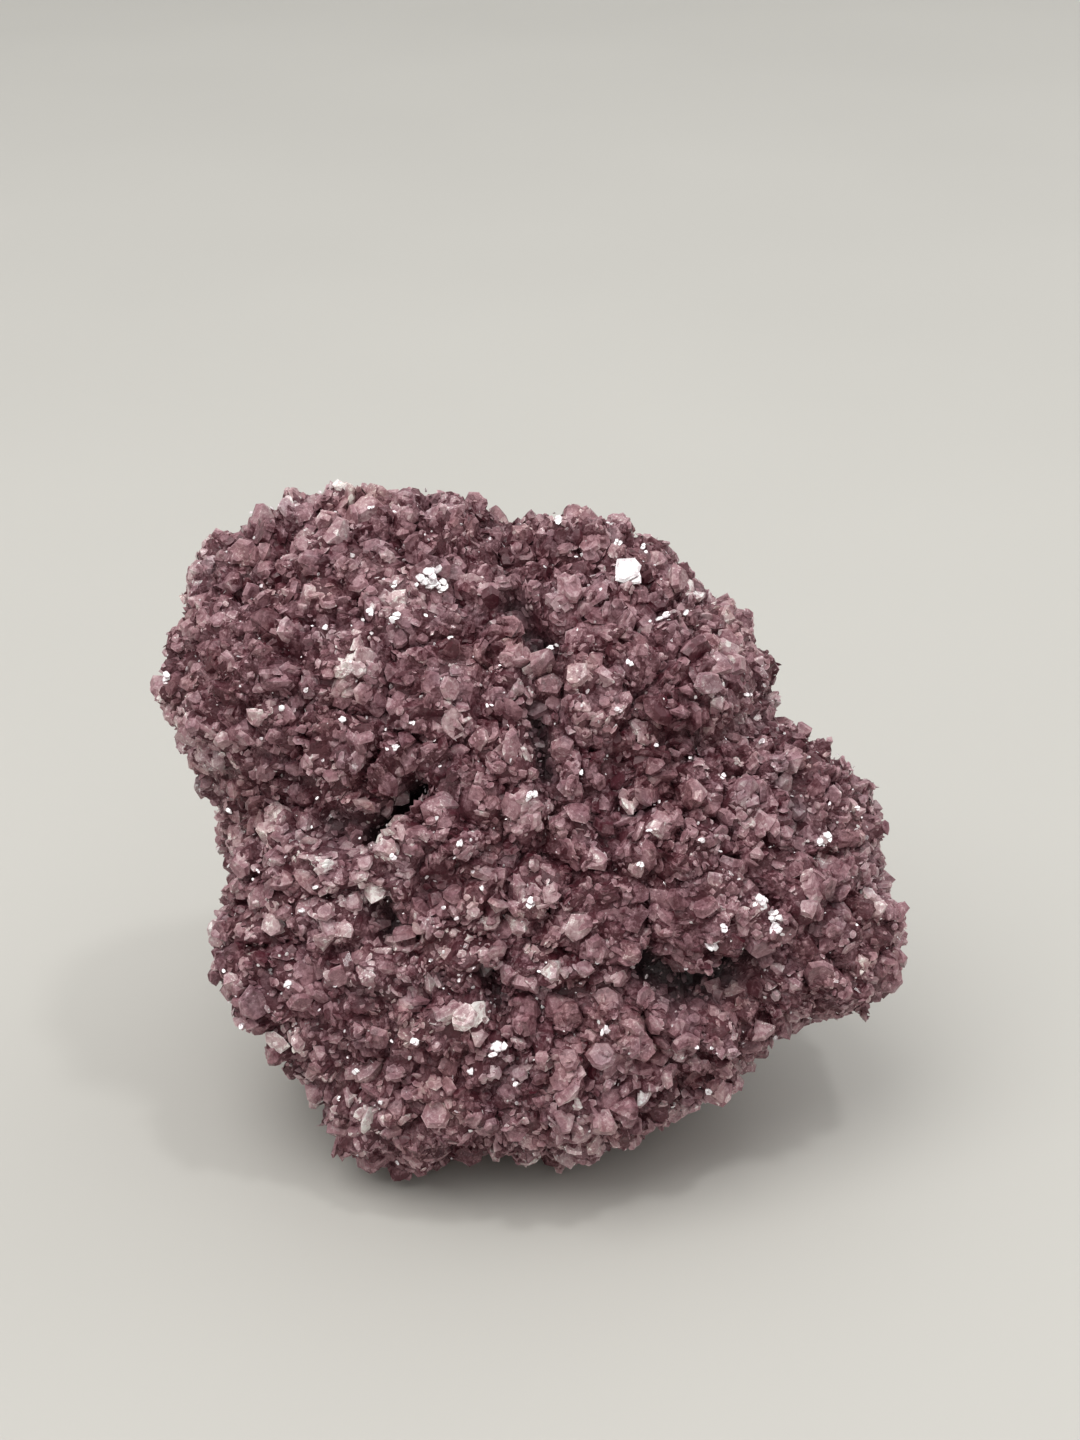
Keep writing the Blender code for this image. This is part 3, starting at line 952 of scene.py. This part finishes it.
def flake_material(settings):
    """Silvery cleavage flakes, which throw the light back like a mirror when they face it."""
    nodes = Nodes("lepidolite_flake")
    silver = (*settings.flake_colour, 1.0)
    nodes.shade({
        "Base Color": nodes.mix(nodes.pattern(*FLAKE_SHADE), silver, settings.flake_shade),
        "Metallic": FLAKE_METAL,
        "Roughness": nodes.pattern(*FLAKE_ROUGHNESS),
        "Normal": nodes.tilted(nodes.cells(*FLAKE_CELLS), FLAKE_TILT),
    })
    return nodes.material


def table_material(settings):
    """A plain pale table top with a faint unevenness."""
    nodes = Nodes("table_top")
    black = (0.0, 0.0, 0.0, 1.0)
    nodes.shade({
        "Base Color": nodes.mix(nodes.pattern(*TABLE_TINT), black, settings.floor_colour),
        "Roughness": TABLE_ROUGHNESS,
    })
    return nodes.material


def colour_property(name, description, default):
    return bpy.props.FloatVectorProperty(
        name=name, description=description, default=default, subtype="COLOR", min=0.0, max=1.0
    )


def length_property(name, description, default):
    return bpy.props.FloatProperty(name=name, description=description, default=default, unit="LENGTH")


def number_property(name, description, default, least=0.0):
    return bpy.props.FloatProperty(name=name, description=description, default=default, min=least)


class LepidoliteStone(bpy.types.PropertyGroup):
    """Sizes and colours of the stone."""

    plate_radius: length_property("Plate radius", "Typical radius of a mica plate", 0.0008)
    grain_radius: length_property("Grain radius", "Typical radius of the finer grains", 0.00042)
    dark_colour: colour_property("Dark mica", "Colour of the darkest grains", (0.085, 0.018, 0.027))
    main_colour: colour_property("Mica", "Colour of most grains", (0.348, 0.182, 0.208))
    # The pale and palest colours also give the painted highlights on the rims and the painted glints in a
    # few cells.
    pale_colour: colour_property("Pale mica", "Colour of the pale grains and rims", (0.60, 0.43, 0.445))
    palest_colour: colour_property("Palest mica", "Colour of the palest rims", (0.95, 0.90, 0.87))
    warm_tint: colour_property("Warm tint", "Tint of the pinkish tan parts", (1.0, 0.93, 0.78))
    cool_tint: colour_property("Cool tint", "Tint of the grey violet parts", (0.76, 0.92, 0.98))
    # Grey mica in the hollows, darkened as painted shade.
    hollow_grey_and_shade_colour: colour_property("Hollows", "Grey of the mica deep in the hollows", (0.072, 0.046, 0.053))
    flake_colour: colour_property("Flakes", "Silver of the bright flakes", (0.92, 0.90, 0.90))
    flake_shade: colour_property("Flake shade", "Mauve cast of the bright flakes", (0.72, 0.62, 0.66))


class LepidoliteStage(bpy.types.PropertyGroup):
    """The table top, lights and camera."""

    floor_colour: colour_property("Table top", "Colour of the table top", (0.53, 0.52, 0.485))
    floor_radius: length_property("Table radius", "Radius of the level part of the table top", 1.2)
    key_power: number_property("Key light", "Power of the large light above", 4.4)
    key_size: length_property("Key size", "Width of the large light above", 0.8)
    fill_power: number_property("Fill light", "Power of the soft light on the right", 1.6)
    room_light: number_property("Room light", "Strength of the even light from all sides", 0.92)
    lens: number_property("Lens", "Focal length of the camera, in millimetres", 58.3, 1.0)
    distance: length_property("Camera distance", "From the camera to the plane of the face", 0.279)


class LEPIDOLITE_OT_body(bpy.types.Operator):
    """Adds the fused body of the stone"""

    bl_idname = "lepidolite.body"
    bl_label = "Stone body"

    def execute(self, context):
        settings = context.scene.lepidolite_stone
        stone = body()
        mesh = new_mesh("stone_body", worn(stand_up(stone.points)), [stone.faces])
        add_attribute(mesh, "hollow", stone.hollow)
        add_places(mesh, stone.places)
        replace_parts(new_piece(mesh, body_material(settings)), "lepidolite")
        return {"FINISHED"}


class Coat:
    """Where mica lies on the body: clusters that lean the same way, and how each piece sits in one."""

    def __init__(self, rng):
        self.rng = rng
        self.middles = body().sites(rng, CLUSTER_COUNT)[0]
        self.axes = even_directions(rng, CLUSTER_COUNT)
        self.tones = rng.normal(0.0, CLUSTER_TONE, CLUSTER_COUNT)

    def lay(self, name, count, size, make, shape, material):
        """One piece: so many plates or grains of a size (radius, spread, limits, thickness and sink)."""
        rng = self.rng
        typical, spread, limits, thickness, sink = size
        points, facing, hollow, crease = body().sites(rng, count)
        radius = np.clip(typical / MM * np.exp(rng.normal(0.0, spread, count)), *limits)
        radius *= 1.0 - HOLLOW_SHRINK * hollow**2 * rng.uniform(0.0, 2.0, count)
        half_height = radius * rng.uniform(*thickness, count)
        cluster = nearest(points, self.middles)
        lean = self.axes[cluster]
        lean = lean * np.sign((lean * facing).sum(axis=1))[:, None]
        axis = lean * CLUSTER_SHARE + facing * FACING_PULL + even_directions(rng, count) * RANDOM_SHARE
        centre = points - facing * (rng.uniform(*sink, count) * radius)[:, None]
        made = make(rng, centre, unit(axis), radius, half_height)
        tone = MEAN_TONE + self.tones[cluster] + TONE_SPREAD * rng.normal(size=count)
        # Mica in the creases is made darker: painted shade.
        tone = tone - CREASE_SHADE_TONE * crease + bells(points, PATCHES)
        gloss = rng.uniform(size=count) ** GLOSS_POWER
        shown = above_base(made) & (hollow + GAP_RANDOM * rng.uniform(size=count) < GAP_HOLLOW)
        _laid.append(made[shown].reshape(-1, 3))
        mesh = mica_mesh(name, made[shown], *shape, tone[shown], hollow[shown], gloss[shown])
        new_piece(mesh, material)


class LEPIDOLITE_OT_plates(bpy.types.Operator):
    """Adds the plates of mica, and the finer grains between them"""

    bl_idname = "lepidolite.plates"
    bl_label = "Mica plates and grains"

    def execute(self, context):
        settings = context.scene.lepidolite_stone
        coat = Coat(np.random.default_rng(COAT_SEED))
        material = mica_material(settings)
        kinds = (
            ("plates", PLATES_TO_A_PIECE, (settings.plate_radius, *PLATE_SIZE), plate_points, PLATE_SHAPE),
            ("grains", GRAINS_TO_A_PIECE, (settings.grain_radius, *GRAIN_SIZE), grain_points, GRAIN_SHAPE),
        )
        for name, *kind in kinds:
            for number in range(COAT_PIECES):
                coat.lay(f"mica_{name}_{number + 1}", *kind, material)
        return {"FINISHED"}


def glint_flakes(rng, stage):
    """The middles, radii and axes of the flakes that stand where the photo's glints are."""
    column, row, radius, number = np.array(GLINTS).T
    coat = np.concatenate([body().points, *_laid])
    coat = coat[coat[:, 2] > 0]
    pixels = seen_at(coat, stage)
    place = np.array([top_near(coat, pixels, glint) for glint in zip(column, row)])
    glint = np.repeat(np.arange(len(GLINTS)), number.astype(int))
    count = len(glint)
    spread = (radius * np.sqrt(number - 1) * FLAKE_SPREAD)[glint, None]
    middle = place[glint] + rng.normal(size=(count, 3)) * spread * FLAKE_FLATNESS
    middle[:, 2] += FLAKE_LIFT * radius[glint]
    size = radius[glint] * rng.uniform(*FLAKE_SIZES, count)
    return middle, size, unit(mirror_way(stage) + rng.normal(0.0, FLAKE_LEAN, (count, 3)))


def strewn_flakes(rng, stage):
    """The middles, radii and axes of the small flakes all over, some of which face the light."""
    points, facing, _, _ = body().sites(rng, STREWN_FLAKES)
    size = rng.uniform(*STREWN_RADIUS, STREWN_FLAKES)
    axis = unit(facing * STREWN_FACING + even_directions(rng, STREWN_FLAKES))
    spark = unit(mirror_way(stage) + rng.normal(0.0, SPARK_LEAN, (STREWN_FLAKES, 3)))
    lit = (rng.uniform(size=STREWN_FLAKES) < SPARK_SHARE) & (points[:, 2] > 0)
    return points + facing * STREWN_LIFT, size, np.where(lit[:, None], spark, axis)


class LEPIDOLITE_OT_flakes(bpy.types.Operator):
    """Adds the bright cleavage flakes"""

    bl_idname = "lepidolite.flakes"
    bl_label = "Bright flakes"

    def execute(self, context):
        stage = context.scene.lepidolite_stage
        rng = np.random.default_rng(FLAKE_SEED)
        both = zip(glint_flakes(rng, stage), strewn_flakes(rng, stage))
        middle, size, axis = [np.concatenate(parts) for parts in both]
        half_height = size * rng.uniform(*FLAKE_THICKNESS, len(size))
        made = plate_points(rng, middle, axis, size, half_height, FLAKE_NARROWNESS)
        made = made[above_base(made)]
        none = np.zeros(len(made))
        mesh = mica_mesh("bright_flakes", made, *PLATE_SHAPE, none, none, none)
        mesh.shade_flat()
        new_piece(mesh, flake_material(context.scene.lepidolite_stone))
        return {"FINISHED"}


def aimed(place, target):
    """The turn that points an object's -Z axis from a place to another."""
    x, y, z = np.array(target) - np.array(place)
    return math.atan2(math.hypot(x, y), -z), 0.0, -math.atan2(x, y)


def add_light(name, place, size, power, colour):
    """A round soft light, aimed at the stone."""
    light = bpy.data.lights.new(name, "AREA")
    light.shape = "DISK"
    light.size = size
    light.energy = power
    light.color = colour
    lamp = new_object(name, light)
    lamp.location = place
    lamp.rotation_euler = aimed(place, LIT_POINT)


def table_top(radius):
    """A round table top whose rim sweeps up into a wall.

    At the two parameters r, the way out from the middle, and t, the turn about it, a point is
    (r cos t, r sin t, rise). The rise is 0 up to the radius and follows a quarter of a circle beyond it.
    """
    turn = np.linspace(0.0, TAU, TABLE_TURNS, endpoint=False)
    level = np.linspace(0.0, radius, TABLE_RINGS + 1)[1:]
    bend = np.linspace(0.0, math.pi / 2, TABLE_BENDS + 1)[1:]
    out = np.concatenate([level, radius + np.sin(bend)])[:, None]
    rise = np.concatenate([np.zeros(len(level)), 1.0 - np.cos(bend)])[:, None]
    points = np.stack([out * np.cos(turn), out * np.sin(turn), rise + 0.0 * turn], axis=-1).reshape(-1, 3)
    here = np.arange(TABLE_TURNS)
    after = (here + 1) % TABLE_TURNS
    ring = np.arange(len(out) - 1)[:, None] * TABLE_TURNS
    outer = ring + TABLE_TURNS
    quads = np.stack([ring + here, outer + here, outer + after, ring + after], axis=-1).reshape(-1, 4)
    return np.vstack([points, [[0.0, 0.0, 0.0]]]), [quads, fan(len(points), here, after)]


class LEPIDOLITE_OT_stage(bpy.types.Operator):
    """Adds the table top, the lights and the camera"""

    bl_idname = "lepidolite.stage"
    bl_label = "Stage"

    def execute(self, context):
        settings = context.scene.lepidolite_stage
        mesh = new_mesh("table_top", *table_top(settings.floor_radius))
        mesh.materials.append(table_material(settings))
        mesh.shade_smooth()
        floor = new_object("table_top", mesh)

        add_light("key_light", KEY_PLACE, settings.key_size, settings.key_power, KEY_COLOUR)
        add_light("fill_light", FILL_PLACE, FILL_SIZE, settings.fill_power, FILL_COLOUR)
        add_light("spark_light", SPARK_PLACE, SPARK_SIZE, SPARK_POWER, SPARK_COLOUR)
        world = bpy.data.worlds.new("room")
        world.use_nodes = True
        background = world.node_tree.nodes["Background"]
        background.inputs["Color"].default_value = ROOM_COLOUR
        background.inputs["Strength"].default_value = settings.room_light
        context.scene.world = world
        context.scene.view_settings.view_transform = "Standard"

        data = bpy.data.cameras.new("camera")
        data.lens = settings.lens
        data.sensor_width = SENSOR
        data.clip_start = CAMERA_NEAR
        camera = new_object("camera", data)
        camera.location = stand_up(np.array([[*SIGHT_POINT, settings.distance / MM]]))[0]
        camera.rotation_euler = (math.pi / 2 - math.radians(FACE_TILT_DEG), 0.0, 0.0)
        context.scene.camera = camera
        return {"FINISHED"}


class LEPIDOLITE_PT_panel(bpy.types.Panel):
    """Lists the steps and what can be changed"""

    bl_idname = "LEPIDOLITE_PT_panel"
    bl_label = "Lepidolite"
    bl_space_type = "VIEW_3D"
    bl_region_type = "UI"
    bl_category = "Lepidolite"

    def draw(self, context):
        for group in (context.scene.lepidolite_stone, context.scene.lepidolite_stage):
            for name in group.__annotations__:
                self.layout.prop(group, name)
        for operator in OPERATORS:
            self.layout.operator(operator.bl_idname)


OPERATORS = (LEPIDOLITE_OT_body, LEPIDOLITE_OT_plates, LEPIDOLITE_OT_flakes, LEPIDOLITE_OT_stage)
CLASSES = (LepidoliteStone, LepidoliteStage, *OPERATORS, LEPIDOLITE_PT_panel)


def register():
    for kind in CLASSES:
        bpy.utils.register_class(kind)
    bpy.types.Scene.lepidolite_stone = bpy.props.PointerProperty(type=LepidoliteStone)
    bpy.types.Scene.lepidolite_stage = bpy.props.PointerProperty(type=LepidoliteStage)


def unregister():
    del bpy.types.Scene.lepidolite_stage
    del bpy.types.Scene.lepidolite_stone
    for kind in reversed(CLASSES):
        bpy.utils.unregister_class(kind)


def main():
    register()
    bpy.ops.lepidolite.body()
    bpy.ops.lepidolite.plates()
    bpy.ops.lepidolite.flakes()
    bpy.ops.lepidolite.stage()


if __name__ == "__main__":
    main()
